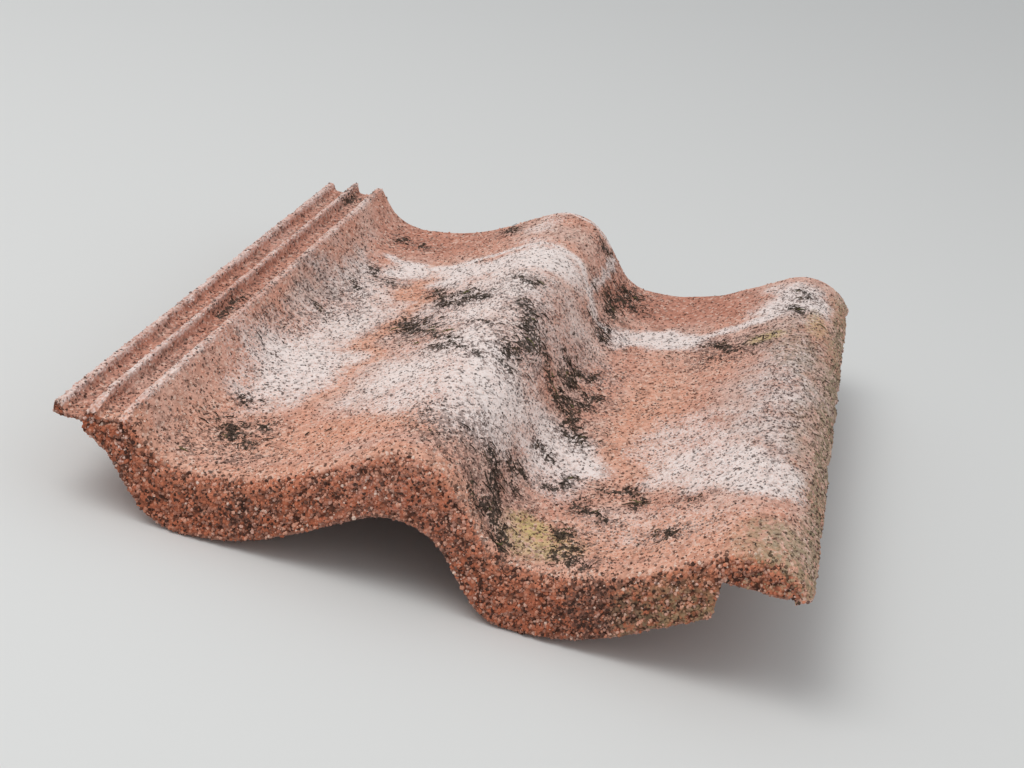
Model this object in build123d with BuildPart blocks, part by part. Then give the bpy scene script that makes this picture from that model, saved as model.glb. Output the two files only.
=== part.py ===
from build123d import *
import os
from math import cos, radians, sin, tan

# Roof tile with a double wave, one moulded piece, in millimetres.
# X runs from the underlap to the cover roll, Y from the tail to the head, Z up.
# The origin is on the floor, under the middle of the tile.
# Places in a section are measured from the underlap's outer edge and the top of the trough.

# Overall sizes
wave_pitch = 150.0          # crest to crest
waves = 2                   # waves in the cover width
side_lap = 32.0             # width of the underlap that the next tile covers
length = 420.0              # tail to head
nose_depth = 32.0           # top of the trough to the floor

# Wave
wave_height = 35.0          # trough to crest
gentle_slope = 31.0         # degrees, left side of each crest
steep_slope = 50.0          # degrees, right side of each crest
crest_radius = 30.0
foot_radius = 25.0          # at the foot of the steep side
body_thickness = 12.5       # square to the surface
arris_radius = 6.0          # rounding along the top of the tail

# Cover roll on the right, with the hollow that takes the next underlap
edge_run = 2.7              # flank between the crest's arc and the cover edge
cover_edge_height = 2.6
cover_edge_width = 2.8
cover_edge_rounding = 1.0
tooth_tip_width = 3.4
tooth_root_width = 5.4

# Underlap on the left, which the next tile's roll covers
underlap_thickness = 3.3    # below the outer groove
outer_rib_width = 4.0
outer_rib_drop = 4.4        # below the top of the ridge
outer_groove_width = 8.0
outer_groove_depth = 8.6    # below the top of the ridge
middle_rib_width = 3.2
middle_rib_drop = 0.6
inner_groove_depth = 6.0
ridge_width = 3.8
rib_side = 2.0              # run of each rib's sloping side
rib_rounding = 0.7
runout_length = 22.0        # the ribs slope down towards the tail
runout_drop = 5.0

# Gaps between a tile and the next one beside it
cover_gap = 0.4             # cover edge over the ridge
ceiling_gap = 2.4           # hollow over the middle rib
tooth_gap = 3.0             # tooth over its groove
roll_nose_gap = 0.4         # closed end of the roll over the run-out of the ribs
nose_gap = 7.0              # nose beside the next underlap

# Nose and weather bars at the tail
nose_length = 16.0
nose_start = 15.0           # from the underlap's outer edge
bar_depth = 29.0            # top of the trough to the underside of a weather bar
bar_length = 8.0
bar_pitch = 21.0
bars = 2

# Hanging nibs under the head
nib_start = -24.0           # from the bottom of each trough
nib_width = 90.0
nib_length = 20.0
nib_setback = 2.0
nib_draft = 8.0             # degrees, sides of the nib

# Wave, from the sizes above
rise = radians(gentle_slope)
fall = radians(steep_slope)
cover_width = waves * wave_pitch
width = cover_width + side_lap
last_crest = width - edge_run - crest_radius * sin(fall)
first_crest = last_crest - (waves - 1) * wave_pitch
fall_run = wave_height / tan(fall) + (crest_radius + foot_radius) * tan(fall / 2)
rise_run = wave_pitch - fall_run
first_trough = first_crest - rise_run
trough_radius = (rise_run - wave_height / tan(rise)) / tan(rise / 2) - crest_radius
rise_top = wave_height - crest_radius * (1 - cos(rise))
fall_top = wave_height - crest_radius * (1 - cos(fall))
core_drop = (arris_radius + body_thickness) / 2

# Underlap, which is as high as the cover edge allows
edge_top = fall_top - edge_run * tan(fall)
edge_bottom = edge_top - cover_edge_height
ridge_top = edge_bottom - cover_gap
ridge_end = first_crest - wave_pitch + crest_radius * sin(fall) + (fall_top - ridge_top) / tan(fall)
ridge_start = ridge_end - ridge_width
outer_rib_top = ridge_top - outer_rib_drop
outer_groove_floor = ridge_top - outer_groove_depth
outer_groove_start = outer_rib_width + rib_side
outer_groove_end = outer_groove_start + outer_groove_width
middle_rib_top = ridge_top - middle_rib_drop
middle_rib_start = outer_groove_end + rib_side
middle_rib_end = middle_rib_start + middle_rib_width
inner_groove_floor = ridge_top - inner_groove_depth
inner_groove_start = middle_rib_end + rib_side
inner_groove_end = ridge_start - rib_side
underlap_bottom = outer_groove_floor - underlap_thickness
under_flank = ridge_end + (ridge_top - underlap_bottom - body_thickness / cos(fall)) / tan(fall)

# Hollow of the roll, with a tooth beside the outer rib and one over each groove
hollow_ceiling = middle_rib_top + ceiling_gap
rise_under = rise_top - body_thickness / cos(rise)
hollow_start = last_crest - crest_radius * sin(rise) + (hollow_ceiling - rise_under) / tan(rise)
outer_tip = outer_groove_floor + tooth_gap
inner_tip = inner_groove_floor + tooth_gap
outer_tooth = cover_width + (outer_groove_start + outer_groove_end) / 2
inner_tooth = cover_width + (inner_groove_start + inner_groove_end) / 2
edge_tooth = cover_width - tooth_root_width / 2
teeth = ((edge_tooth, outer_tip), (outer_tooth, outer_tip), (inner_tooth, inner_tip))
nose_end = cover_width - nose_gap
roll_nose_bottom = ridge_top - runout_drop * (1 - nose_length / runout_length) + roll_nose_gap


def section_plane(y):
    """The plane of a section at y from the tail, looking from the tail to the head."""
    return Plane(origin=(-width / 2, y - length / 2, nose_depth), x_dir=(1, 0, 0), z_dir=(0, -1, 0))


def wave_line(start, depth=0.0, drop=0.0):
    """Draw the wave from a start point to the foot after the last crest, and return its end.

    depth moves the line square to itself, and drop moves it straight down."""
    here = start
    for i in range(waves + 1):
        trough = first_trough + i * wave_pitch
        foot = CenterArc((trough, foot_radius - drop), foot_radius + depth, 270 - steep_slope, steep_slope)
        Line(here, foot @ 0)
        if i == waves:
            return foot @ 1
        pan = CenterArc((trough, trough_radius - drop), trough_radius + depth, 270, gentle_slope)
        crest_centre = (trough + rise_run, wave_height - crest_radius - drop)
        crest = CenterArc(crest_centre, crest_radius - depth, 90 + gentle_slope, -gentle_slope - steep_slope)
        Line(pan @ 1, crest @ 0)
        here = crest @ 1


def band_outline(depth):
    """Draw a band across the tile, from inside the body down to the wave dropped by depth."""
    crest_x = first_crest - wave_pitch
    crest_z = wave_height - crest_radius
    core_crest = CenterArc((crest_x, crest_z - core_drop), crest_radius, 90, -steep_slope)
    low_crest = CenterArc((crest_x, crest_z - depth), crest_radius, 90, -steep_slope)
    core_end = wave_line(core_crest @ 1, drop=core_drop)
    low_end = wave_line(low_crest @ 1, drop=depth)
    Line(core_crest @ 0, low_crest @ 0)
    Line(core_end, low_end)


def trim_band():
    """Cut a band to the width of the nose and keep it out of the underlap's grooves."""
    with Locations((nose_start, 0)):
        Rectangle(width, width, align=(Align.MAX, Align.CENTER), mode=Mode.SUBTRACT)
    with Locations((nose_end, 0)):
        Rectangle(width, width, align=(Align.MIN, Align.CENTER), mode=Mode.SUBTRACT)
    with Locations((ridge_end, underlap_bottom + rib_rounding)):
        Rectangle(width, width, align=(Align.MAX, Align.MIN), mode=Mode.SUBTRACT)


with BuildPart() as roof_tile:
    # A block under the wave, with the arris of the tail rounded across the pans and the crests
    with BuildSketch(section_plane(0)):
        with BuildLine():
            wave_start = (ridge_end, ridge_top)
            wave_end = wave_line(wave_start)
            Polyline(wave_start, (0, ridge_top), (0, -nose_depth), (wave_end.X, -nose_depth), wave_end)
        make_face()
        with Locations((width, 0)):
            Rectangle(width, width, align=(Align.MIN, Align.CENTER), mode=Mode.SUBTRACT)
    extrude(amount=-length)
    upper_faces = roof_tile.faces().filter_by(lambda face: face.normal_at().Z > cos(fall) / 2)
    waved_faces = upper_faces.filter_by(lambda face: face.center().X > ridge_end - width / 2)
    tail_arris = [face.edges().sort_by(Axis.Y)[0] for face in waved_faces]
    fillet(tail_arris, arris_radius)

    # The section that the tile has from tail to head
    with BuildSketch(section_plane(0)) as section:
        with BuildLine():
            Polyline(
                (ridge_end, ridge_top),
                (ridge_start, ridge_top),
                (inner_groove_end, inner_groove_floor),
                (inner_groove_start, inner_groove_floor),
                (middle_rib_end, middle_rib_top),
                (middle_rib_start, middle_rib_top),
                (outer_groove_end, outer_groove_floor),
                (outer_groove_start, outer_groove_floor),
                (outer_rib_width, outer_rib_top),
                (0, outer_rib_top),
                (0, underlap_bottom),
                (under_flank, underlap_bottom),
            )
            top_end = wave_line((ridge_end, ridge_top))
            under_end = wave_line((under_flank, underlap_bottom), depth=body_thickness)
            Line(top_end, under_end)
        make_face()
        underlap_corners = section.vertices().filter_by(lambda corner: corner.X < ridge_end)
        rib_corners = underlap_corners.filter_by(lambda corner: corner.Y > underlap_bottom + rib_rounding)
        fillet(rib_corners, rib_rounding)
        # The roll is solid down to the ceiling of its hollow
        with Locations((hollow_start, hollow_ceiling)):
            roll_core_width = last_crest + crest_radius / 2 - hollow_start
            roll_core_height = wave_height - core_drop - hollow_ceiling
            Rectangle(roll_core_width, roll_core_height, align=(Align.MIN, Align.MIN))
            Rectangle(width, width, align=(Align.MIN, Align.MAX), mode=Mode.SUBTRACT)
        # It ends at the cover edge, which reaches lower than the ceiling
        with Locations((width, 0)):
            Rectangle(width, width, align=(Align.MIN, Align.CENTER), mode=Mode.SUBTRACT)
        with Locations((width, edge_bottom)):
            Rectangle(cover_edge_width, cover_edge_height, align=(Align.MAX, Align.MIN))
        edge_corners = section.vertices().group_by(Axis.X)[-1]
        fillet(edge_corners, cover_edge_rounding)
        # Teeth hang into the next underlap's grooves
        tooth_root = hollow_ceiling + rib_rounding
        for place, tip in teeth:
            with BuildLine():
                Polyline(
                    (place - tooth_root_width / 2, tooth_root),
                    (place - tooth_tip_width / 2, tip),
                    (place + tooth_tip_width / 2, tip),
                    (place + tooth_root_width / 2, tooth_root),
                    close=True,
                )
            make_face()
    extrude(amount=-length, mode=Mode.INTERSECT)

    # The ribs of the underlap run out towards the tail
    tail = -length / 2
    rib_line = nose_depth + ridge_top
    with BuildSketch(Plane.YZ.offset(-width / 2)):
        with BuildLine():
            Polyline(
                (tail, rib_line - runout_drop),
                (tail + runout_length, rib_line),
                (tail, rib_line),
                close=True,
            )
        make_face()
    extrude(amount=ridge_end, mode=Mode.SUBTRACT)

    # Nose: the end of the body reaches down to the floor, and the end of the roll is closed
    with BuildSketch(section_plane(0)):
        with BuildLine():
            band_outline(nose_depth)
        make_face()
        trim_band()
        with Locations((nose_end - rib_rounding, roll_nose_bottom)):
            roll_nose_width = inner_tooth - nose_end
            roll_nose_height = hollow_ceiling - roll_nose_bottom + rib_rounding
            Rectangle(roll_nose_width, roll_nose_height, align=(Align.MIN, Align.MIN))
    extrude(amount=-nose_length)
    with BuildSketch(section_plane(0)):
        with Locations((nose_end, roll_nose_bottom)):
            teeth_cut_width = inner_tooth - tooth_root_width / 2 - nose_end
            Rectangle(teeth_cut_width, roll_nose_bottom, align=(Align.MIN, Align.MAX))
    extrude(amount=-nose_length, mode=Mode.SUBTRACT)

    # Weather bars behind the nose
    for i in range(bars):
        with BuildSketch(section_plane(nose_length + (i + 1) * bar_pitch - bar_length)):
            with BuildLine():
                band_outline(bar_depth)
            make_face()
            trim_band()
        extrude(amount=-bar_length)

    # Hanging nibs, one under each trough
    for i in range(waves):
        nib_left = first_trough + i * wave_pitch + nib_start
        nib_right = nib_left + nib_width
        spread = (nose_depth + wave_height) * tan(radians(nib_draft))
        with BuildSketch(section_plane(length - nib_setback - nib_length)):
            with BuildLine():
                band_outline(nose_depth)
            make_face()
            trim_band()
            with BuildLine():
                Polyline(
                    (nib_left, -nose_depth),
                    (nib_right, -nose_depth),
                    (nib_right + spread, wave_height),
                    (nib_left - spread, wave_height),
                    close=True,
                )
            make_face(mode=Mode.INTERSECT)
        extrude(amount=-nib_length)

roof_tile.part.label = "roof_tile"
os.makedirs("parts", exist_ok=True)
export_step(roof_tile.part, "parts/roof_tile.step")
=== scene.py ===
from math import cos, radians, sin, tan

import bmesh
import bpy
import numpy as np
from mathutils import Matrix, Vector


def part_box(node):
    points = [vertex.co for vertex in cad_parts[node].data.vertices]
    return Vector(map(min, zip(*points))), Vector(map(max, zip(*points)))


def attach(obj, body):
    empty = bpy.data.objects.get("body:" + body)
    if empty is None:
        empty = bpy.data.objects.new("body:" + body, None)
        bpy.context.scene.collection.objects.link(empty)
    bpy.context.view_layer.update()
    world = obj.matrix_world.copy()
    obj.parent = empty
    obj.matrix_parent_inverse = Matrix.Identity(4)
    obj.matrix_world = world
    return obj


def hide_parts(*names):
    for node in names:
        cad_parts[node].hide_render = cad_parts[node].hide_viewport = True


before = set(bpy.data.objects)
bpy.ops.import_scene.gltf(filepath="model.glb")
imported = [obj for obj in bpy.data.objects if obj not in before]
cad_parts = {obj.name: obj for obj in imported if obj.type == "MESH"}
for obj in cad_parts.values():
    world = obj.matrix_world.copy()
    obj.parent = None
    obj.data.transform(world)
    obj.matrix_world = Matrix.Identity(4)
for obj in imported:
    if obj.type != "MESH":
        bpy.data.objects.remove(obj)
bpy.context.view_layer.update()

# Sizes in millimetres, measured from the underlap's outer edge, the tail and the top of the trough
MM = 0.001
low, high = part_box("roof_tile")
width = round((high[0] - low[0]) / MM, 3)
length = round((high[1] - low[1]) / MM, 3)
nose_depth = 32.0
tile_offset = np.array((-width / 2, -length / 2, nose_depth))

# Wave, as in the solid
wave_pitch = 150.0
wave_height = 35.0
rise = radians(31.0)
fall = radians(50.0)
crest_radius = 30.0
foot_radius = 25.0
body_thickness = 12.5
edge_run = 2.7
last_crest = width - edge_run - crest_radius * sin(fall)
fall_run = wave_height / tan(fall) + (crest_radius + foot_radius) * tan(fall / 2)
rise_run = wave_pitch - fall_run
first_trough = last_crest - wave_pitch - rise_run
trough_radius = (rise_run - wave_height / tan(rise)) / tan(rise / 2) - crest_radius
arris_radius = 6.0
arris_fade = 0.75           # share of the arris that is lost towards the thin cover edge
arris_fade_run = 4.0

# Underlap on the left
ridge_top = 18.07
ridge_start = 30.72
ridge_end = 34.52
outer_rib_top = 13.67
outer_groove_floor = 9.47
middle_rib_top = 17.47
inner_groove_floor = 12.07
underlap_bottom = 6.17
rib_profile = (
    (0.0, outer_rib_top),
    (4.0, outer_rib_top),
    (6.0, outer_groove_floor),
    (14.0, outer_groove_floor),
    (16.0, middle_rib_top),
    (19.2, middle_rib_top),
    (21.2, inner_groove_floor),
    (28.72, inner_groove_floor),
    (ridge_start, ridge_top),
    (ridge_end, ridge_top),
)
rib_crests = ((0.0, 4.6), (15.6, 19.6), (ridge_start, 35.2))
rib_rounding = 0.5
runout_length = 22.0
runout_drop = 5.0

# Cover roll on the right
hollow_ceiling = 19.87
hollow_start = 297.1
edge_bottom = 18.47
edge_start = 329.2
tooth_tip_half = 1.7
tooth_root_half = 2.7
teeth = ((297.3, 12.47), (310.0, 12.47), (324.96, 15.07))

# Nose, weather bars and nibs under the tile
nose_start = 15.0
nose_end = 293.0
nose_length = 16.0
roll_nose_bottom = 17.1
roll_nose_end = 322.26
bar_depth = 29.0
bar_starts = (29.0, 50.0)
bar_length = 8.0
nib_start = -24.0
nib_width = 90.0
nib_ends = (398.0, 418.0)
nib_draft = radians(8.0)

# Rounding of the edges
edge_rounding = 1.0
tail_rounding = 1.6
lip_rounding = 3.0
head_rounding = 1.0
underlap_rounding = 0.8
rib_tail_rounding = 1.2
rib_head_rounding = 1.8
least_thickness = 0.8
worn_corner = 7.0           # at the tail's right corner, seen from above
worn_corner_reach = 16.0

# Grid of the visible tile
rib_columns = 52
wave_columns = 222
arris_stations = 9
body_stations = 212
wall_rows = 18
under_step = 4
edge_lines = (0.6, 0.25, 0.0)       # distances from an edge of the lines that round it
after_ridge = 0.4
after_arris = 1.2
before_edge = 1.0
half_step = 0.12                    # half the distance between the two lines of a step
least_spacing = 0.3

# Relief in millimetres
settle = 0.5                # the whole face lies this much inside the solid, so that grains reach its box
grit = 0.5
front_grit = 1.7
pore_spacing = 2.9
front_pore_spacing = 3.3
moss_height = 0.8
least_chip = 0.3
chip_threshold = 0.65
underlap_chips = 0.7
head_chip_reach = 5.0
cover_chip_reach = 3.0
underlap_chip_reach = 2.0
sharp_edge = radians(55)

# Random fields: their reach, the size of their lumps in millimetres, and their seed
unevenness = (0.15, 38, 33)
lumps = (0.2, 8, 34)
moss_break = (0.7, 3.0, 35)
big_chips = (2.6, 11, 37)
small_chips = (0.5, 3, 38)
patch_x = (9, 24, 11)
patch_x_fine = (4, 8, 12)
patch_y = (14, 28, 13)
patch_y_fine = (6, 9, 14)
streak_x = (2.0, 6, 15)
streak_y = (3.0, 7, 17)
rim_edge = (2, 7, 18)
green_edge = (3, 12, 20)
LATTICE = 48

# Seeds of the scattered points, and of the forms of grains beside the seed of their places
pore_seed = 31
front_pore_seed = 32
form_seed_step = 500
fibre_place_seed = 45

# Limits between which a value goes from 0 to 1
pore_edge = (0.42, 0.15)
front_pore_edge = (0.36, 0.92)
moss_edge = (0.6, 1.2)
patch_edge = (1.45, 0.45)
facing_up = (0.1, 0.45)
facing_down = (0.0, 0.4)
facing_tail = (0.7, 0.92)
facing_head = (0.5, 0.8)
green_rim = (315, 327)
fresh_strip = (20, 8)
rim_depths = (-17, -4)
head_end_heights = (12, 30)
streak_full = 0.1           # share of a streak's half width
streak_end = 2.0
# Fade of the painted highlight on the ribs' crests
crest_highlight_fade = 0.9
groove_fade = 1.5

# Grains, and the fibres of dry moss
grain_stretch = (0.7, 1.15)
darkest_tone = 0.2
tone_range = 0.65
front_grain_reach = 9
stray_moss = 0.0008
fibre_joints = 7
tube_sides = 4
fibre_stride = (0.35, 1.3)
fibre_lift = (0.0, 0.6)
fibre_radius = (0.16, 0.42)
fibre_end = 0.25            # angle at which a fibre's taper ends
fibre_sunk = 0.1
first_turn = 0.8
later_turn = 0.45


def smooth(value, start, end):
    """Go smoothly from 0 at start to 1 at end."""
    part = np.clip((value - start) / (end - start), 0, 1)
    return part * part * (3 - 2 * part)


def random_field(points, size, seed):
    """Smooth random values from -1 to 1, in lumps about as large as size."""
    values = np.random.default_rng(seed).random((LATTICE, LATTICE, LATTICE))
    scaled = points / size
    cell = np.floor(scaled).astype(int)
    part = scaled - cell
    part = part * part * (3 - 2 * part)
    total = np.zeros(len(points))
    for corner in np.ndindex(2, 2, 2):
        index = (cell + corner) % LATTICE
        weight = np.prod(np.where(np.array(corner, dtype=bool), part, 1 - part), axis=1)
        total += weight * values[index[:, 0], index[:, 1], index[:, 2]]
    return 2 * total - 1


def wander(points, field):
    """Random shift at each point, from a field's reach, size and seed."""
    reach, size, seed = field
    return reach * random_field(points, size, seed)


def pebble_field(points, size, seed):
    """Distance to the nearest of many scattered points, where size is their usual spacing."""
    jitter = np.random.default_rng(seed).random((LATTICE, LATTICE, LATTICE, 3))
    scaled = points / size
    cell = np.floor(scaled).astype(int)
    nearest = np.full(len(points), 2.0)
    for step in np.ndindex(3, 3, 3):
        there = cell + np.array(step) - 1
        index = there % LATTICE
        spot = there + jitter[index[:, 0], index[:, 1], index[:, 2]]
        nearest = np.minimum(nearest, np.linalg.norm(scaled - spot, axis=1))
    return nearest


def wave(x):
    """Height of the wave at x, which repeats to both sides."""
    from_crest = np.mod(x - last_crest, wave_pitch)
    to_crest = wave_pitch - from_crest
    crest_fall = wave_height - crest_radius + np.sqrt(np.clip(crest_radius**2 - from_crest**2, 0, None))
    crest_rise = wave_height - crest_radius + np.sqrt(np.clip(crest_radius**2 - to_crest**2, 0, None))
    fall_end = crest_radius * sin(fall)
    fall_line = wave_height - crest_radius * (1 - cos(fall)) - (from_crest - fall_end) * tan(fall)
    rise_end = crest_radius * sin(rise)
    rise_line = wave_height - crest_radius * (1 - cos(rise)) - (to_crest - rise_end) * tan(rise)
    across = from_crest - fall_run
    foot = foot_radius - np.sqrt(np.clip(foot_radius**2 - across**2, 0, None))
    pan = trough_radius - np.sqrt(trough_radius**2 - across**2)
    return np.select(
        [
            from_crest < fall_end,
            across < -foot_radius * sin(fall),
            across < 0,
            across < trough_radius * sin(rise),
            to_crest > rise_end,
        ],
        [crest_fall, fall_line, foot, pan, rise_line],
        crest_rise,
    )


def slope_of(x):
    """Tangent of the wave's slope at x."""
    step = 0.05
    return (wave(x + step) - wave(x - step)) / (2 * step)


def ribs(x):
    """Height of the underlap's ribs and grooves at x, with their corners rounded."""
    places, heights = zip(*rib_profile)
    shifts = (-rib_rounding, -rib_rounding / 2, 0, rib_rounding / 2, rib_rounding)
    return np.mean([np.interp(x + shift, places, heights) for shift in shifts], axis=0)


def corner_drop(distance, radius):
    """How far a rounded corner lies below the square one, at a distance from its edge."""
    inside = np.clip(radius - distance, 0, radius)
    return radius - np.sqrt(radius**2 - inside**2)


def top_height(x, y):
    """Height of the weathered face."""
    steepness = np.sqrt(1 + slope_of(x) ** 2)
    radius = arris_radius * (1 - arris_fade * smooth(x, roll_nose_end - arris_fade_run, edge_start))
    pan = wave(x) - corner_drop(y, radius) * steepness
    run_out = ridge_top - runout_drop * np.clip(1 - y / runout_length, 0, 1)
    underlap = np.minimum(ribs(x), run_out) - corner_drop(y, rib_tail_rounding)
    underlap = underlap - corner_drop(length - y, rib_head_rounding)
    height = np.where(x < ridge_end, underlap, pan)
    height = height - corner_drop(length - y, head_rounding) - corner_drop(x, underlap_rounding)
    return height - corner_drop(width - x, edge_rounding)


offset_line = np.linspace(0, width, 4000)
offset_angle = np.arctan(slope_of(offset_line))
under_x = offset_line + body_thickness * np.sin(offset_angle)
under_z = wave(offset_line) - body_thickness * np.cos(offset_angle)


def roll_underside(x):
    """Height of the hollow's ceiling, its teeth and the cover edge."""
    height = np.full_like(x, hollow_ceiling)
    for place, tip in teeth:
        away = np.abs(x - place)
        side = np.interp(away, (tooth_tip_half, tooth_root_half), (tip, hollow_ceiling))
        height = np.minimum(height, side)
    return np.where(x > edge_start, edge_bottom, height)


def under_height(x, y):
    """Height of the underside."""
    height = np.interp(x, under_x, under_z)
    height = np.where(x < first_trough, np.minimum(height, underlap_bottom), height)
    height = np.where(x < ridge_end, underlap_bottom, height)
    height = np.where(x > hollow_start, roll_underside(x), height)
    nose = (y < nose_length) & (x > nose_start)
    height = np.where(nose & (x < nose_end), np.minimum(height, wave(x) - nose_depth), height)
    roll_end = nose & (x >= nose_end) & (x < roll_nose_end)
    height = np.where(roll_end, roll_nose_bottom, height)
    for start in bar_starts:
        bar = (y > start) & (y < start + bar_length) & (x > nose_start) & (x < nose_end)
        height = np.where(bar, np.minimum(height, wave(x) - bar_depth), height)
    for i in range(2):
        left = first_trough + i * wave_pitch + nib_start
        right = left + nib_width
        beside = np.maximum(left - x, x - right)
        side = np.clip(beside, 0, None) / tan(nib_draft) - nose_depth
        nib = np.maximum(wave(x) - nose_depth, side)
        along = (y > nib_ends[0]) & (y < nib_ends[1])
        height = np.where(along, np.minimum(height, nib), height)
    tail_corner = corner_drop(y, np.where(x > roll_nose_end, lip_rounding, tail_rounding))
    head_corner = corner_drop(length - y, head_rounding)
    underlap_corner = corner_drop(x, underlap_rounding)
    return height + tail_corner + head_corner + underlap_corner + corner_drop(width - x, edge_rounding)


# Weathering, placed one by one: x, y, half width, half length and strength of each patch
bloom_and_highlight_patches = (
    (74, 320, 18, 24, 0.95),
    (50, 290, 13, 60, 0.5),
    (66, 225, 22, 90, 0.62),
    (66, 138, 28, 55, 0.95),
    (48, 195, 10, 75, 0.4),
    (114, 318, 22, 26, 0.95),
    (150, 320, 32, 28, 1.0),
    # Partly bloom and partly a painted highlight on the crest near the head
    (143, 398, 10, 36, 0.4),
    (138, 245, 38, 60, 0.72),
    (148, 130, 42, 75, 0.72),
    (165, 100, 22, 62, 0.85),
    (203, 118, 22, 46, 0.85),
    (190, 250, 20, 60, 0.35),
    (228, 318, 30, 18, 1.0),
    (298, 362, 20, 34, 0.95),
    (262, 150, 22, 50, 0.5),
    (264, 122, 20, 22, 0.65),
    (284, 106, 24, 24, 0.75),
    (300, 205, 20, 110, 0.42),
    (304, 94, 18, 25, 0.8),
    (15, 330, 16, 110, 0.15),
    (172, 190, 14, 60, 0.55),
    (262, 50, 50, 28, 0.25),
)

# White edges of the clean head: half width, then the places that each passes
bloom_streaks = (
    (3.5, (62, 350), (78, 336), (96, 334), (118, 341), (150, 345), (172, 341), (184, 325), (192, 312)),
    (6, (192, 312), (206, 320), (232, 328), (258, 334), (284, 343), (300, 352)),
    (2.0, (186, 412), (187, 380), (185, 350), (184, 325)),
    (1.6, (148, 418), (165, 416), (180, 417)),
)

# Orange face without bloom
fresh_patches = (
    (94, 210, 9, 150, 0.9),
    (238, 190, 22, 105, 0.9),
    (110, 45, 60, 28, 0.9),
    (265, 38, 55, 30, 1.0),
    (60, 50, 26, 50, 0.7),
    (250, 270, 20, 30, 0.5),
)

# The smoother, redder finish of the clean head and of the ribs
head_patches = (
    (75, 398, 40, 48, 0.8),
    (235, 392, 50, 44, 1.0),
    (14, 210, 18, 300, 0.75),
)
dirt_and_shade_patches = (
    (48, 230, 12, 120, 0.38),
    (60, 265, 16, 40, 0.5),
    (172, 40, 30, 35, 0.6),
    (165, 220, 18, 60, 0.38),
    (305, 220, 20, 120, 0.35),
    (70, 30, 30, 30, 0.4),
    (240, 72, 18, 20, 0.3),
    (270, 300, 25, 30, 0.6),
    # Partly dirt and partly painted shade on the roll's outer edge
    (330, 200, 9, 220, 0.55),
    (200, 240, 16, 50, 0.4),
)
lichen_patches = (
    (208, 40, 9, 10, 1.0),
    (214, 26, 17, 15, 0.7),
    (286, 304, 9, 9, 0.75),
    (312, 330, 6, 22, 0.45),
)

green_patches = (
    (318, 10, 22, 26, 1.0),
    (308, 280, 20, 45, 0.4),
    (318, 200, 10, 110, 0.35),
)

cool_patches = (
    (46, 285, 11, 60, 1.0),
    (300, 210, 24, 130, 0.8),
    (175, 240, 20, 50, 0.5),
)

# Patches on the tail face, where the second number is a height, drawn out by face_stretch
face_stretch = 3
face_grey_patches = (
    (252, -40, 17, 75, 0.7),
    (92, -45, 12, 30, 0.6),
)
face_green_patches = ((282, -15, 22, 60, 0.8),)
face_bloom_patches = ((150, 0, 30, 40, 0.12),)

# Strengths of what isn't placed one by one
line_bloom = 0.85
# Painted highlight on the ribs' crests, laid in with the bloom
rib_highlight = 0.35
head_end_bloom = 0.35
arris_fresh = 0.8
halo_start = 3
halo_growth = 2.2
halo_dirt = 0.5
# Painted shade in the underlap's grooves, partly dirt
groove_shade_and_dirt = 0.3
green_strength = 0.8

# Dark streaks of moss: half width, then the places that each passes
moss_streaks = (
    (7, (203, 398), (200, 385), (204, 374)),
    (5, (197, 372), (193, 355), (198, 340)),
    (4, (199, 315), (196, 305), (200, 298)),
    (3.5, (260, 314), (266, 304), (272, 292)),
    (2.5, (272, 300), (280, 305), (290, 307)),
    (2, (280, 292), (286, 296)),
    (4, (300, 388), (304, 380), (302, 372)),
    (4, (298, 352), (304, 344)),
    (2.5, (104, 285), (108, 272), (113, 262), (117, 250)),
    (4, (120, 262), (127, 255), (132, 245), (138, 236)),
    (3.5, (112, 252), (120, 242), (128, 236)),
    (7, (104, 222), (108, 212), (112, 203)),
    (2.5, (112, 203), (121, 193), (126, 180)),
    (2.5, (140, 192), (147, 190), (153, 184)),
    (1.5, (126, 180), (134, 170), (139, 158), (145, 146), (158, 134)),
    (3, (133, 158), (137, 150)),
    (5.5, (160, 230), (164, 220), (169, 205), (167, 195)),
    (5, (169, 205), (175, 190), (173, 178), (166, 165), (167, 152)),
    (2.5, (180, 200), (184, 188), (187, 178)),
    (3.5, (168, 142), (171, 138)),
    (2.5, (208, 242), (203, 235)),
    (4, (197, 232), (193, 222), (197, 212), (192, 203)),
    (5, (208, 210), (206, 198), (198, 186), (194, 174)),
    (5, (198, 186), (205, 170), (203, 160), (212, 150)),
    (4, (150, 272), (153, 262), (160, 268)),
    (3, (196, 118), (202, 114)),
    (2.2, (216, 102), (211, 92), (206, 86)),
    (3, (194, 82), (190, 70), (196, 62)),
    (4, (183, 60), (187, 45), (192, 35), (190, 22), (184, 12)),
    (5, (192, 24), (200, 16), (198, 8)),
    (5, (222, 40), (228, 30), (224, 18), (234, 12)),
    (2, (229, 98), (236, 93), (244, 96), (250, 84), (248, 74)),
    (2, (224, 82), (222, 72), (232, 66), (240, 58)),
    (5, (64, 54), (70, 42), (76, 36)),
    (3, (78, 62), (80, 58)),
    (2.5, (58, 90), (60, 85)),
    (2, (50, 228), (57, 224)),
    (2, (58, 320), (65, 306)),
    (2, (70, 302), (78, 296)),
    (1.8, (56, 288), (63, 276)),
    (1.6, (50, 262), (58, 252)),
    (3, (62, 388), (60, 380)),
    (2.5, (72, 384), (76, 378)),
    (2.5, (119, 405), (121, 396)),
    (2.5, (181, 408), (181, 398)),
    (3, (22, 405), (21, 385)),
    (2.5, (23, 190), (23, 150)),
    (3, (264, 42), (267, 34)),
    (2, (270, 78), (274, 74)),
)


def cover(x, y, patches):
    """The strongest of the patches at each place, with soft edges."""
    amount = np.zeros_like(x)
    for centre_x, centre_y, half_width, half_length, strength in patches:
        away = np.hypot((x - centre_x) / half_width, (y - centre_y) / half_length)
        amount = np.maximum(amount, strength * smooth(away, *patch_edge))
    return amount


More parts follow.
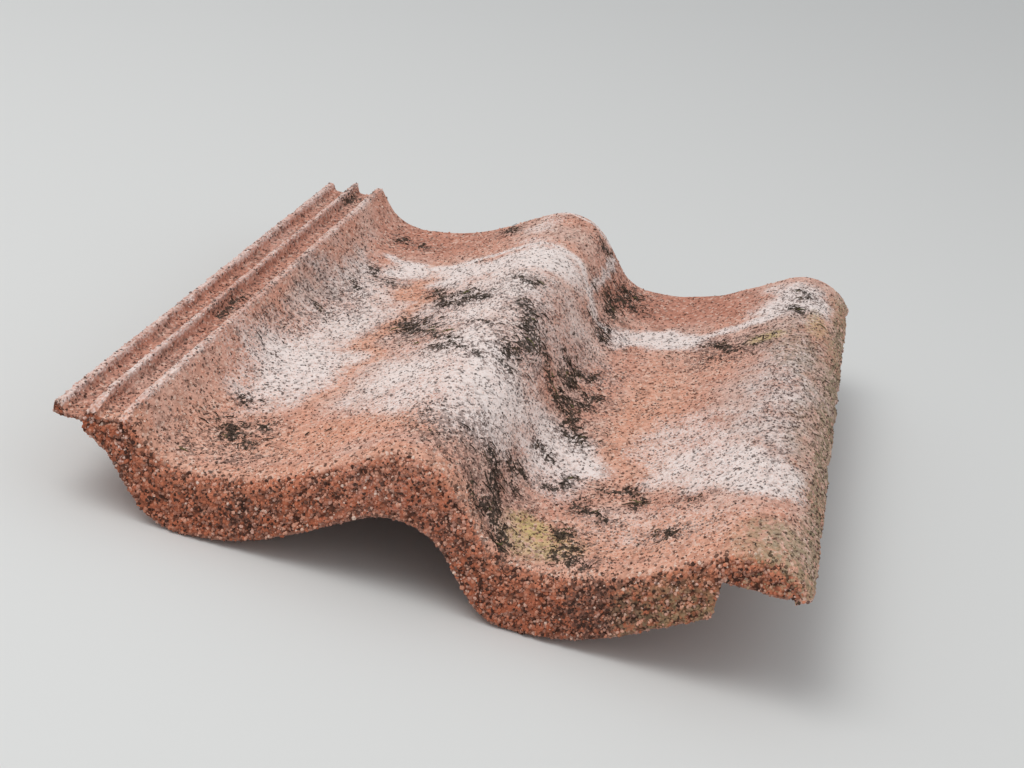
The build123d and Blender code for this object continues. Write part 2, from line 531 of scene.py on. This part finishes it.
def streaked(x, y, streaks):
    """1 on the middle of each streak, which fades out beyond its edge."""
    amount = np.zeros_like(x)
    for streak in streaks:
        half = streak[0]
        for (start_x, start_y), (end_x, end_y) in zip(streak[1:-1], streak[2:]):
            along_x, along_y = end_x - start_x, end_y - start_y
            part = ((x - start_x) * along_x + (y - start_y) * along_y) / (along_x**2 + along_y**2)
            part = np.clip(part, 0, 1)
            away = np.hypot(x - start_x - part * along_x, y - start_y - part * along_y)
            amount = np.maximum(amount, smooth(away, half * streak_end, half * streak_full))
    return amount


def rib_crest_highlight(x):
    """1 on the crests of the ribs, which take a painted highlight."""
    light = np.zeros_like(x)
    for start, end in rib_crests:
        outside = np.abs(x - (start + end) / 2) - (end - start) / 2
        light = np.maximum(light, smooth(outside, crest_highlight_fade, 0.0))
    return light


def weather(points, normals):
    """How much of each kind of weathering lies at each point, as named values from 0 to 1."""
    up = smooth(normals[:, 2], *facing_up)
    front = smooth(-normals[:, 1], *facing_tail)
    head_end = smooth(normals[:, 1], *facing_head) * smooth(points[:, 2], *head_end_heights)
    x = points[:, 0] + wander(points, patch_x) + wander(points, patch_x_fine)
    y = points[:, 1] + wander(points, patch_y) + wander(points, patch_y_fine)
    tall = face_stretch * points[:, 2]
    near_x = points[:, 0] + wander(points, streak_x)
    near_y = points[:, 1] + wander(points, streak_y)
    moss = streaked(near_x, near_y, moss_streaks)
    wider = [(halo_start + halo_growth * half, *places) for half, *places in moss_streaks]
    halo = streaked(near_x, near_y, wider)
    line = streaked(near_x, near_y, bloom_streaks)
    # The ribs' crests take a painted highlight with the bloom, and their grooves painted shade with the
    # dirt
    crests = rib_crest_highlight(points[:, 0])
    groove = smooth(points[:, 0], ridge_start, ridge_start - groove_fade) * (1 - crests)
    bloom_and_highlight = np.maximum.reduce((cover(x, y, bloom_and_highlight_patches), line_bloom * line, rib_highlight * crests))
    fresh = np.maximum(cover(x, y, fresh_patches), arris_fresh * smooth(near_y, *fresh_strip))
    dirt_and_shade = np.maximum.reduce((cover(x, y, dirt_and_shade_patches), halo_dirt * halo, groove_shade_and_dirt * groove))
    green = smooth(points[:, 0] + wander(points, green_edge), *green_rim)
    green = green_strength * np.maximum(green, cover(x, y, green_patches))
    under_arris = points[:, 2] - wave(points[:, 0]) + wander(points, rim_edge)
    return {
        "bloom_and_highlight": up * bloom_and_highlight + head_end_bloom * head_end + front * cover(x, y, face_bloom_patches),
        "fresh": up * fresh,
        "head": up * cover(x, y, head_patches),
        "dirt_and_shade": up * dirt_and_shade + front * cover(x, tall, face_grey_patches),
        "cool": up * cover(x, y, cool_patches),
        "moss": up * moss,
        "lichen": up * cover(near_x, near_y, lichen_patches),
        "green": up * green + front * cover(x, tall, face_green_patches),
        "front": front,
        "rim": front * smooth(under_arris, *rim_depths),
        "under": smooth(-normals[:, 2], *facing_down),
    }


def to_scene(points):
    """Places in millimetres on the tile, as metres in the scene."""
    return (points + tile_offset) * MM


def keep_in_box(points):
    """Bring places in the scene back inside the solid's box."""
    return np.clip(points, np.array(low), np.array(high))


def make_mesh(name, points, faces, values, smooth_shading):
    """Make an object from points in millimetres, with named values at its points."""
    mesh = bpy.data.meshes.new(name)
    mesh.from_pydata(keep_in_box(to_scene(points)).tolist(), [], faces)
    for value_name, value in values.items():
        layer = mesh.attributes.new(value_name, "FLOAT", "POINT")
        layer.data.foreach_set("value", np.clip(value, 0, 1).astype(np.float32))
    if smooth_shading:
        mesh.shade_smooth()
        mesh.set_sharp_from_angle(angle=sharp_edge)
    made = bpy.data.objects.new(name, mesh)
    bpy.context.scene.collection.objects.link(made)
    return made


def grid_lines():
    """Columns across the tile and stations along it, with pairs at each step of the underside."""
    columns = np.concatenate((
        np.linspace(0, ridge_end, rib_columns),
        np.linspace(ridge_end + after_ridge, width - before_edge, wave_columns),
        [width - away for away in edge_lines],
    ))
    steps_x = [nose_start, nose_end, roll_nose_end, hollow_start, edge_start]
    steps_y = [nose_length, *nib_ends]
    for start in bar_starts:
        steps_y += [start, start + bar_length]
    for i in range(2):
        left = first_trough + i * wave_pitch + nib_start
        steps_x += [left, left + nib_width]
    arris = arris_radius * (1 - np.cos(np.linspace(0, np.pi / 2, arris_stations)))
    stations = np.concatenate((
        arris,
        np.linspace(arris_radius + after_arris, length - before_edge, body_stations),
        [length - away for away in edge_lines],
    ))
    return with_pairs(columns, steps_x), with_pairs(stations, steps_y)


def with_pairs(lines, steps):
    """Put a pair of lines at each step, and say which lines the underside needs."""
    paired = [step + side * half_step for step in steps for side in (-1, 1)]
    kept = [line for line in lines if np.min(np.abs(line - np.array(paired))) > least_spacing]
    together = np.array(sorted(kept + paired))
    needed = [0, len(together) - 1]
    needed += [int(np.argmin(np.abs(together - place))) for place in paired]
    return together, sorted(set(needed) | set(range(0, len(together) - 1, under_step)))


def tile_surface():
    """The tile's closed surface: its points in millimetres and its faces."""
    (columns, under_columns), (stations, under_stations) = grid_lines()
    last_i, last_j = len(columns) - 1, len(stations) - 1
    grid_x, grid_y = np.meshgrid(columns, stations, indexing="ij")
    top = top_height(grid_x, grid_y)
    under = np.minimum(under_height(grid_x, grid_y), top - least_thickness)
    points = []
    numbers = {}

    def point(i, j, row):
        """The number of the point at a column, a station and a row from the top to the underside."""
        key = (i, j, row)
        if key not in numbers:
            part = row / wall_rows
            numbers[key] = len(points)
            points.append((columns[i], stations[j], top[i, j] * (1 - part) + under[i, j] * part))
        return numbers[key]

    faces = []

    def add_face(*places):
        """Add a face with corners at the places, each a column, a station and a row."""
        faces.append(tuple(point(*place) for place in places))

    for i in range(last_i):
        for j in range(last_j):
            add_face((i, j, 0), (i + 1, j, 0), (i + 1, j + 1, 0), (i, j + 1, 0))
    for row in range(wall_rows):
        below = row + 1
        for i in range(last_i):
            add_face((i, 0, below), (i + 1, 0, below), (i + 1, 0, row), (i, 0, row))
            add_face((i, last_j, row), (i + 1, last_j, row), (i + 1, last_j, below), (i, last_j, below))
        for j in range(last_j):
            add_face((0, j, row), (0, j + 1, row), (0, j + 1, below), (0, j, below))
            add_face((last_i, j, below), (last_i, j + 1, below), (last_i, j + 1, row), (last_i, j, row))
    for i, next_i in zip(under_columns[:-1], under_columns[1:]):
        for j, next_j in zip(under_stations[:-1], under_stations[1:]):
            # A cell at the border also takes the points of the finer walls
            left = range(j, next_j) if i == 0 else (j,)
            head = range(i, next_i) if next_j == last_j else (i,)
            right = range(next_j, j, -1) if next_i == last_i else (next_j,)
            tail = range(next_i, i, -1) if j == 0 else (next_i,)
            ring = [(i, a, wall_rows) for a in left]
            ring += [(a, next_j, wall_rows) for a in head]
            ring += [(next_i, a, wall_rows) for a in right]
            ring += [(a, j, wall_rows) for a in tail]
            add_face(*ring)
    return np.array(points), faces


def rough_tile():
    """The visible tile, with its relief and weathering."""
    points, faces = tile_surface()
    plain = bpy.data.meshes.new("plain_tile")
    plain.from_pydata(points.tolist(), [], faces)
    normals = np.zeros(len(points) * 3)
    plain.vertex_normals.foreach_get("vector", normals)
    normals = normals.reshape(-1, 3)
    bpy.data.meshes.remove(plain)
    values = weather(points, normals)
    front = values["front"]
    pores = smooth(pebble_field(points, pore_spacing, pore_seed), *pore_edge)
    front_pores = smooth(pebble_field(points, front_pore_spacing, front_pore_seed), *front_pore_edge)
    depth = settle + wander(points, unevenness) + unevenness[0] + wander(points, lumps)
    depth += grit * pores * (1 - front) + front_grit * front_pores * front
    depth -= moss_height * smooth(values["moss"] + wander(points, moss_break), *moss_edge)
    moved = points - normals * depth[:, None]
    chips = np.clip(wander(points, big_chips) - chip_threshold, 0, None)
    chips += wander(points, small_chips) + least_chip
    moved[:, 1] -= chips * smooth(points[:, 1], length - head_chip_reach, length)
    moved[:, 0] -= chips * smooth(points[:, 0], width - cover_chip_reach, width)
    moved[:, 0] += underlap_chips * chips * smooth(points[:, 0], underlap_chip_reach, 0)
    corner = corner_drop(points[:, 1], worn_corner)
    moved[:, 0] -= corner * smooth(points[:, 0], width - worn_corner_reach, width)
    # The pores' dents also take painted shade in the colour
    values["pit"] = pores * (1 - front) + front_pores * front
    return make_mesh("weathered_tile", moved, faces, values, True)


def surface_samples(made, count, seed, chance):
    """Random places on an object's faces, with their normals, kept by a chance for each place."""
    mesh = made.data
    mesh.calc_loop_triangles()
    triangles = np.zeros(len(mesh.loop_triangles) * 3, dtype=np.int32)
    mesh.loop_triangles.foreach_get("vertices", triangles)
    corners = np.zeros(len(mesh.vertices) * 3, dtype=np.float32)
    mesh.vertices.foreach_get("co", corners)
    corners = corners.reshape(-1, 3).astype(float)[triangles.reshape(-1, 3)] / MM
    corners -= tile_offset
    cross = np.cross(corners[:, 1] - corners[:, 0], corners[:, 2] - corners[:, 0])
    area = np.linalg.norm(cross, axis=1)
    normal = cross / np.maximum(area, 1e-9)[:, None]
    draw = np.random.default_rng(seed)
    weight = area * chance(corners.mean(axis=1), normal)
    picked = draw.choice(len(area), size=count, p=weight / weight.sum())
    a, b = draw.random(count), draw.random(count)
    fold = a + b > 1
    a[fold], b[fold] = 1 - a[fold], 1 - b[fold]
    first, second, third = corners[picked, 0], corners[picked, 1], corners[picked, 2]
    return first + a[:, None] * (second - first) + b[:, None] * (third - first), normal[picked]


octahedron = (
    np.array(((1, 0, 0), (-1, 0, 0), (0, 1, 0), (0, -1, 0), (0, 0, 1), (0, 0, -1)), dtype=float),
    np.array(((0, 2, 4), (2, 1, 4), (1, 3, 4), (3, 0, 4), (2, 0, 5), (1, 2, 5), (3, 1, 5), (0, 3, 5))),
)


def icosahedron():
    """The points and faces of a regular solid with twenty sides."""
    made = bmesh.new()
    bmesh.ops.create_icosphere(made, subdivisions=1, radius=1)
    points = np.array([point.co[:] for point in made.verts])
    faces = np.array([[point.index for point in face.verts] for face in made.faces])
    made.free()
    return points, faces


def random_turns(count, draw):
    """Random rotations, as matrices."""
    turns = draw.normal(size=(count, 4))
    w, x, y, z = turns.T / np.linalg.norm(turns, axis=1)
    return np.stack((
        np.stack((1 - 2 * (y * y + z * z), 2 * (x * y - z * w), 2 * (x * z + y * w)), axis=1),
        np.stack((2 * (x * y + z * w), 1 - 2 * (x * x + z * z), 2 * (y * z - x * w)), axis=1),
        np.stack((2 * (x * z - y * w), 2 * (y * z + x * w), 1 - 2 * (x * x + y * y)), axis=1),
    ), axis=1)


def grains(name, carrier, form, chance, count, seed, sizes, sunk):
    """Grains on the carrier in one mesh, each sunk by a share of its size and with its own tone."""
    draw = np.random.default_rng(seed + form_seed_step)
    centres, normals = surface_samples(carrier, count, seed, chance)
    smallest, largest = sizes
    size = smallest + (largest - smallest) * draw.random(count) ** 2
    form_points, form_faces = form
    stretch = draw.uniform(*grain_stretch, size=(count, 1, 3))
    shaped = form_points[None] * stretch * size[:, None, None] / 2
    turned = np.einsum("nij,nkj->nki", random_turns(count, draw), shaped)
    seats = centres - normals * size[:, None] * sunk
    points = (turned + seats[:, None]).reshape(-1, 3)
    corners = len(form_points)
    faces = form_faces[None] + np.arange(count)[:, None, None] * corners
    values = {key: np.repeat(value, corners) for key, value in weather(centres, normals).items()}
    values["tone"] = np.repeat(darkest_tone + tone_range * draw.random(count), corners)
    return make_mesh(name, points, faces.reshape(-1, 3).tolist(), values, False)


def on_front(centres, normals):
    """Chance of a grain on the open face of the nose and its arris."""
    return smooth(-normals[:, 1], 0.2, 0.7) * (centres[:, 1] < front_grain_reach)


def on_face(centres, normals):
    """Chance of a grain on the weathered face, less towards the head and on the ribs."""
    up = smooth(normals[:, 2], 0.15, 0.4)
    smoother = cover(centres[:, 0], centres[:, 1], head_patches)
    return up * (0.65 + 0.35 * smooth(centres[:, 1], 380, 40)) * (1 - 0.7 * smoother)


def on_moss(centres, normals):
    """Chance of a clump, which is high where the moss is."""
    clump = weather(centres, normals)["moss"] + wander(centres, moss_break)
    return smooth(clump, 0.2, 1.1) + stray_moss


def near_moss(centres, normals):
    """Chance of a fibre, which is high on the moss and nothing at the ridge's foot."""
    values = weather(centres, normals)
    beyond_ridge = smooth(centres[:, 0], ridge_end + 5, ridge_end + 12)
    return (values["moss"] + 0.05 * values["dirt_and_shade"] + 0.001) * beyond_ridge


def fibre_paths(carrier, count, draw):
    """Middle lines of dry moss fibres, which wander over the weathered face near the moss."""
    starts = surface_samples(carrier, count, fibre_place_seed, near_moss)[0]
    limits_x = (ridge_end + 2, width - 8)
    limits_y = (arris_radius + 1, length - 5)
    heading = np.pi / 2 + draw.normal(0, first_turn, count)
    stride = draw.uniform(*fibre_stride, count)
    lift = draw.uniform(*fibre_lift, count)
    x, y = starts[:, 0], starts[:, 1]
    path = np.zeros((count, fibre_joints, 3))
    for k in range(fibre_joints):
        x = np.clip(x, *limits_x)
        y = np.clip(y, *limits_y)
        arch = lift * np.sin(np.pi * k / (fibre_joints - 1))
        path[:, k] = np.stack((x, y, top_height(x, y) - fibre_sunk + arch), axis=1)
        heading = heading + draw.normal(0, later_turn, count)
        x = x + stride * np.cos(heading)
        y = y + stride * np.sin(heading)
    return path


def fibres(name, carrier, count, seed):
    """Thin dry fibres joined in one mesh, each a square tube that tapers to both ends."""
    draw = np.random.default_rng(seed)
    path = fibre_paths(carrier, count, draw)
    along = np.gradient(path, axis=1)
    along /= np.linalg.norm(along, axis=2, keepdims=True)
    side = np.cross(along, (0.0, 0.0, 1.0))
    side /= np.linalg.norm(side, axis=2, keepdims=True)
    upward = np.cross(side, along)
    taper = np.sin(np.linspace(fibre_end, np.pi - fibre_end, fibre_joints))
    radius = draw.uniform(*fibre_radius, count)[:, None] * taper
    rings = []
    for angle in np.linspace(0, 2 * np.pi, tube_sides, endpoint=False):
        ring = side * np.cos(angle) + upward * np.sin(angle)
        rings.append(path + ring * radius[:, :, None])
    points = np.stack(rings, axis=2).reshape(-1, 3)
    faces = []
    for k in range(fibre_joints - 1):
        here, there = tube_sides * k, tube_sides * (k + 1)
        for a in range(tube_sides):
            b = (a + 1) % tube_sides
            faces.append((here + a, there + a, there + b, here + b))
    in_tube = tube_sides * fibre_joints
    faces += [tuple(range(tube_sides)), tuple(in_tube - 1 - a for a in range(tube_sides))]
    faces = np.array(faces)[None] + np.arange(count)[:, None, None] * in_tube
    values = {"tone": np.repeat(draw.random(count), in_tube)}
    return make_mesh(name, points, faces.reshape(-1, tube_sides).tolist(), values, True)


class Graph:
    """Short calls that build the nodes of one material."""

    def __init__(self, name):
        self.material = bpy.data.materials.new(name)
        self.material.use_nodes = True
        self.tree = self.material.node_tree
        self.shader = self.tree.nodes["Principled BSDF"]
        # Painted detail is drawn out along the tile, as its making leaves it
        drawn = self.tree.nodes.new("ShaderNodeVectorMath")
        drawn.operation = "MULTIPLY"
        drawn.inputs[1].default_value = (1.0, along_stretch, 1.0)
        self.put(drawn.inputs[0], self.tree.nodes.new("ShaderNodeTexCoord").outputs["Object"])
        self.place = drawn.outputs[0]

    def put(self, socket, value):
        """Set a socket, or link it where the value is another node's output."""
        if isinstance(value, bpy.types.NodeSocket):
            self.tree.links.new(value, socket)
        else:
            socket.default_value = value

    def value(self, name):
        """A named value of the mesh."""
        node = self.tree.nodes.new("ShaderNodeAttribute")
        node.attribute_name = name
        return node.outputs["Fac"]

    def noise(self, size, detail=2.0):
        """Noise from 0 to 1 with features of a size in millimetres."""
        node = self.tree.nodes.new("ShaderNodeTexNoise")
        self.put(node.inputs["Vector"], self.place)
        node.inputs["Scale"].default_value = 1 / (size * MM)
        node.inputs["Detail"].default_value = detail
        return node.outputs["Fac"]

    def cells(self, size, output="Distance"):
        """Scattered cells with a spacing in millimetres."""
        node = self.tree.nodes.new("ShaderNodeTexVoronoi")
        self.put(node.inputs["Vector"], self.place)
        node.inputs["Scale"].default_value = 1 / (size * MM)
        return node.outputs[output]

    def math(self, operation, first, second=0.0):
        """A calculation with two values."""
        node = self.tree.nodes.new("ShaderNodeMath")
        node.operation = operation
        self.put(node.inputs[0], first)
        self.put(node.inputs[1], second)
        return node.outputs[0]

    def plus(self, first, second):
        """The sum of two values."""
        return self.math("ADD", first, second)

    def times(self, first, second):
        """The product of two values."""
        return self.math("MULTIPLY", first, second)

    def roughened(self, value, *noises):
        """A value with noises added to it, each of which swings about 0 over its own range."""
        for noise, reach in noises:
            value = self.plus(value, self.times(self.math("SUBTRACT", noise, 0.5), reach))
        return value

    def step(self, value, start, end):
        """Go smoothly from 0 at start to 1 at end."""
        node = self.tree.nodes.new("ShaderNodeMapRange")
        node.interpolation_type = "SMOOTHSTEP"
        self.put(node.inputs["Value"], value)
        node.inputs["From Min"].default_value = start
        node.inputs["From Max"].default_value = end
        return node.outputs["Result"]

    def mix(self, amount, first, second):
        """A colour between two colours."""
        node = self.tree.nodes.new("ShaderNodeMix")
        node.data_type = "RGBA"
        self.put(node.inputs["Factor"], amount)
        self.put(node.inputs[6], first)
        self.put(node.inputs[7], second)
        return node.outputs[2]

    def blend(self, colour, other, amount, share=1.0):
        """A colour with another one laid over it, by a share of an amount."""
        return self.mix(self.times(amount, share), colour, other)

    def grey(self, colour):
        """The brightness of a colour."""
        node = self.tree.nodes.new("ShaderNodeRGBToBW")
        self.put(node.inputs[0], colour)
        return node.outputs[0]

    def relief(self, height, strength, depth):
        """Fine relief of the surface, with its depth in millimetres."""
        node = self.tree.nodes.new("ShaderNodeBump")
        node.inputs["Strength"].default_value = strength
        node.inputs["Distance"].default_value = depth * MM
        self.put(node.inputs["Height"], height)
        self.put(self.shader.inputs["Normal"], node.outputs["Normal"])


# Sizes of painted detail in millimetres
broad_size = 34
middle_size = 7
small_size = 2.4
fine_size = 1.1
grit_size = 0.5
tone_size = 1.4
painted_pore_size = 2.3
lichen_size = 1.6
moss_stain_size = 2.6
moss_relief_size = 0.6
along_stretch = 0.66

# Colours, as linear light
deep_red = (0.2, 0.065, 0.038, 1)
brick_red = (0.5, 0.145, 0.07, 1)
rim_red = (0.72, 0.27, 0.155, 1)
salmon = (0.72, 0.38, 0.28, 1)
pale_salmon = (0.76, 0.5, 0.41, 1)
fresh_orange = (0.78, 0.4, 0.27, 1)
head_red = (0.58, 0.245, 0.165, 1)
pale_grain = (0.84, 0.66, 0.55, 1)
front_grain = (0.62, 0.3, 0.2, 1)
# Near black: the dark grains, and the painted shade in the pores
dark_grain_and_pore_shade = (0.045, 0.024, 0.018, 1)
# White of the bloom, also used for the painted highlights
white_bloom_and_highlight = (0.91, 0.81, 0.765, 1)
cool_grey = (0.4, 0.34, 0.32, 1)
# Brown of the dirt, also used for painted shade
brown_dirt_and_shade = (0.17, 0.095, 0.075, 1)
under_red = (0.4, 0.19, 0.135, 1)
black_moss = (0.045, 0.033, 0.024, 1)
brown_moss = (0.12, 0.085, 0.055, 1)
green_moss = (0.16, 0.15, 0.06, 1)
yellow_lichen = (0.66, 0.5, 0.22, 1)
algae_green = (0.31, 0.265, 0.15, 1)


class Concrete(Graph):
    """The nodes of weathered sand-faced concrete, on the tile or on loose grains."""

    def __init__(self, name, loose):
        super().__init__(name)
        # Loose grains take their tone from the mesh
        self.tone = self.value("tone") if loose else self.grey(self.cells(tone_size, "Color"))
        self.contrast = 1.0 if loose else 0.6
        self.broad = self.noise(broad_size, 3)
        self.middle = self.noise(middle_size, 3)
        self.small = self.noise(small_size, 2)
        self.fine = self.noise(fine_size, 2)
        # Only some of the cells hold a pore, which is a dent of the relief and a spot of painted shade
        chosen = self.step(self.grey(self.cells(painted_pore_size, "Color")), 0.5, 0.6)
        self.pore = self.times(self.step(self.cells(painted_pore_size), 0.36, 0.2), chosen)
        self.front = self.value("front")
        # The underside is plainer than the other faces
        self.plainer = self.math("SUBTRACT", 1.0, self.times(self.value("under"), 0.8))

    def clean(self):
        """Colour of the concrete where nothing lies on it."""
        colour = self.mix(self.step(self.broad, 0.38, 0.62), salmon, pale_salmon)
        colour = self.blend(colour, fresh_orange, self.value("fresh"), share=0.9)
        colour = self.blend(colour, head_red, self.value("head"), share=0.9)
        face_red = self.blend(brick_red, rim_red, self.value("rim"), share=0.75)
        colour = self.blend(colour, face_red, self.front, share=0.95)
        colour = self.blend(colour, under_red, self.value("under"), share=0.85)
        colour = self.blend(colour, deep_red, self.step(self.middle, 0.5, 0.3), share=0.3)
        dark = self.times(self.step(self.tone, 0.48, 0.3), self.plus(self.times(self.front, 0.5), 0.35))
        colour = self.blend(colour, deep_red, dark, share=self.contrast)
        light = self.times(self.step(self.tone, 0.68, 0.82), self.plainer)
        light_colour = self.mix(self.front, pale_grain, front_grain)
        return self.blend(colour, light_colour, light, share=0.8 * self.contrast)

    def weathered(self, colour):
        """The colour with grey, bloom, dirt, algae and lichen laid over it, where the bloom holds some
        painted highlight and the dirt some painted shade.
        """
        cool = self.times(self.value("cool"), self.step(self.middle, 0.3, 0.6))
        colour = self.blend(colour, cool_grey, cool, share=0.5)

        # White bloom, which also holds the painted highlights on the ribs' crests and on a wave crest
        # near the head
        bloom_and_highlight = self.value("bloom_and_highlight")
        crust = self.roughened(bloom_and_highlight, (self.broad, 0.7), (self.middle, 0.6), (self.fine, 1.6))
        crust = self.times(self.step(crust, -0.1, 1.0), self.step(bloom_and_highlight, 0.0, 0.3))
        colour = self.blend(colour, white_bloom_and_highlight, crust, share=0.93)

        # Brown dirt, which also holds painted shade in the underlap's grooves and on the roll's outer
        # edge
        dirt_and_shade = self.value("dirt_and_shade")
        veil = self.roughened(dirt_and_shade, (self.small, 2.4), (self.fine, 2.4))
        veil = self.times(self.step(veil, 0.35, 0.75), self.step(dirt_and_shade, 0.02, 0.2))
        colour = self.blend(colour, brown_dirt_and_shade, veil, share=0.7)

        green = self.times(self.value("green"), self.step(self.small, 0.3, 0.6))
        colour = self.blend(colour, algae_green, green, share=0.85)
        lichen = self.times(self.value("lichen"), self.step(self.noise(lichen_size, 2), 0.3, 0.6))
        return self.blend(colour, yellow_lichen, lichen)

    def specked(self, colour):
        """The colour with dark specks, each of which is a loose grain."""
        dirt_and_shade = self.value("dirt_and_shade")
        share_there = self.math("MAXIMUM", self.front, self.plus(self.times(dirt_and_shade, 0.3), 0.75))
        darker = self.plus(self.times(dirt_and_shade, 0.2), self.times(self.value("cool"), 0.1))
        darker = self.plus(darker, self.times(self.value("bloom_and_highlight"), 0.05))
        speck = self.step(self.math("SUBTRACT", self.tone, darker), 0.38, 0.31)
        return self.blend(colour, dark_grain_and_pore_shade, self.times(speck, share_there), share=0.88)

    def pitted(self, colour):
        """The colour with painted shade in the pores, the painted ones and those of the mesh."""
        pit = self.value("pit")
        pits = self.math("MAXIMUM", self.times(self.pore, 0.85), self.times(pit, 0.6))
        pits = self.math("MAXIMUM", pits, self.times(self.times(self.front, pit), 0.95))
        return self.blend(colour, dark_grain_and_pore_shade, self.times(pits, self.plainer))

    def stained(self, colour):
        """The colour with a black stain where the moss is."""
        moss = self.value("moss")
        stain = self.roughened(moss, (self.noise(moss_stain_size, 3), 3.2), (self.fine, 1.8))
        stain = self.times(self.step(stain, 0.76, 1.0), self.step(moss, 0.02, 0.25))
        return self.blend(colour, black_moss, stain, share=0.9)


def concrete(name, loose):
    """Weathered sand-faced concrete. Loose grains carry the specks, and the tile the pores with their
    painted shade.
    """
    g = Concrete(name, loose)
    colour = g.weathered(g.clean())
    colour = g.specked(colour) if loose else g.pitted(colour)
    g.put(g.shader.inputs["Base Color"], g.stained(colour))
    g.shader.inputs["Specular IOR Level"].default_value = 0.25
    g.put(g.shader.inputs["Roughness"], g.plus(g.times(g.fine, 0.15), 0.8))
    height = g.math("SUBTRACT", g.fine, g.times(g.pore, 0.9))
    height = g.plus(height, g.times(g.noise(grit_size, 1), 0.3))
    g.relief(height, strength=0.9, depth=0.45)
    return g.material


def moss_material():
    """Nearly black dry moss with a few brown and green bits."""
    g = Graph("dry_moss")
    tone = g.value("tone")
    colour = g.mix(g.step(tone, 0.4, 1.0), black_moss, brown_moss)
    colour = g.mix(g.step(tone, 0.93, 0.98), colour, green_moss)
    g.put(g.shader.inputs["Base Color"], colour)
    g.shader.inputs["Roughness"].default_value = 0.95
    g.shader.inputs["Specular IOR Level"].default_value = 0.15
    g.relief(g.noise(moss_relief_size, 2), strength=0.8, depth=0.3)
    return g.material


tile = rough_tile()
tile.data.materials.append(concrete("weathered_face", False))
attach(tile, "root")
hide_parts("roof_tile")

grain_material = concrete("loose_sand", True)
rounded = icosahedron()
grain_pieces = [
    grains("nose_grains", tile, rounded, on_front, count=9500, seed=41, sizes=(0.9, 2.3), sunk=0.1),
    grains("coarse_grains", tile, octahedron, on_face, count=24000, seed=42, sizes=(1.0, 2.0), sunk=0.02),
    grains("fine_grains", tile, octahedron, on_face, count=24000, seed=43, sizes=(0.8, 1.3), sunk=0.0),
]
for piece in grain_pieces:
    piece.data.materials.append(grain_material)
dry_moss = moss_material()
moss_pieces = [
    grains("moss_clumps", tile, octahedron, on_moss, count=5000, seed=44, sizes=(0.5, 1.4), sunk=0.0),
    fibres("moss_fibres", tile, count=750, seed=46),
]
for piece in moss_pieces:
    piece.data.materials.append(dry_moss)
for piece in (*grain_pieces, *moss_pieces):
    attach(piece, "root")


def plain_material(name, colour, roughness):
    """A plain matt material."""
    g = Graph(name)
    g.shader.inputs["Base Color"].default_value = colour
    g.shader.inputs["Roughness"].default_value = roughness
    return g.material


def make_floor():
    """A wide pale floor."""
    half = 6.0
    mesh = bpy.data.meshes.new("floor")
    corners = [(-half, -half, 0), (half, -half, 0), (half, half, 0), (-half, half, 0)]
    mesh.from_pydata(corners, [], [(0, 1, 2, 3)])
    floor = bpy.data.objects.new("floor", mesh)
    bpy.context.scene.collection.objects.link(floor)
    mesh.materials.append(plain_material("pale_floor", colour=(0.72, 0.72, 0.7, 1), roughness=0.9))


def make_camera():
    """The camera at the photograph's place beside the tile, turned to look at the tile's middle."""
    place = Vector((0.108, -0.933, 0.388))
    target = Vector((0.0, 0.0, 0.028))
    right = Vector((0.94055, 0.29961, 0.15998))
    down = Vector((0.29682, -0.49611, -0.81595))
    turn = right.cross(down).rotation_difference((target - place).normalized())
    right.rotate(turn)
    down.rotate(turn)
    data = bpy.data.cameras.new("camera")
    data.lens = 68
    data.sensor_width = 36
    camera = bpy.data.objects.new("camera", data)
    bpy.context.scene.collection.objects.link(camera)
    axes = Matrix((right, -down, -right.cross(down))).transposed()
    camera.matrix_world = Matrix.Translation(place) @ axes.to_4x4()
    bpy.context.scene.camera = camera


def make_lamp(name, place, size, power):
    """A soft square lamp that looks at the tile."""
    data = bpy.data.lights.new(name, "AREA")
    data.size = size
    data.energy = power
    lamp = bpy.data.objects.new(name, data)
    bpy.context.scene.collection.objects.link(lamp)
    lamp.location = place
    lamp.rotation_mode = "QUATERNION"
    lamp.rotation_quaternion = (-Vector(place)).to_track_quat("-Z", "Y")


def make_world():
    """An even pale sky."""
    world = bpy.data.worlds.new("sky")
    world.use_nodes = True
    background = world.node_tree.nodes["Background"]
    background.inputs["Color"].default_value = (0.95, 0.97, 1.0, 1)
    background.inputs["Strength"].default_value = 0.62
    bpy.context.scene.world = world


make_floor()
make_camera()
make_world()
make_lamp("overhead_lamp", place=(-0.8, -0.7, 2.0), size=1.4, power=22)

view_settings = bpy.context.scene.view_settings
view_settings.view_transform = "Standard"
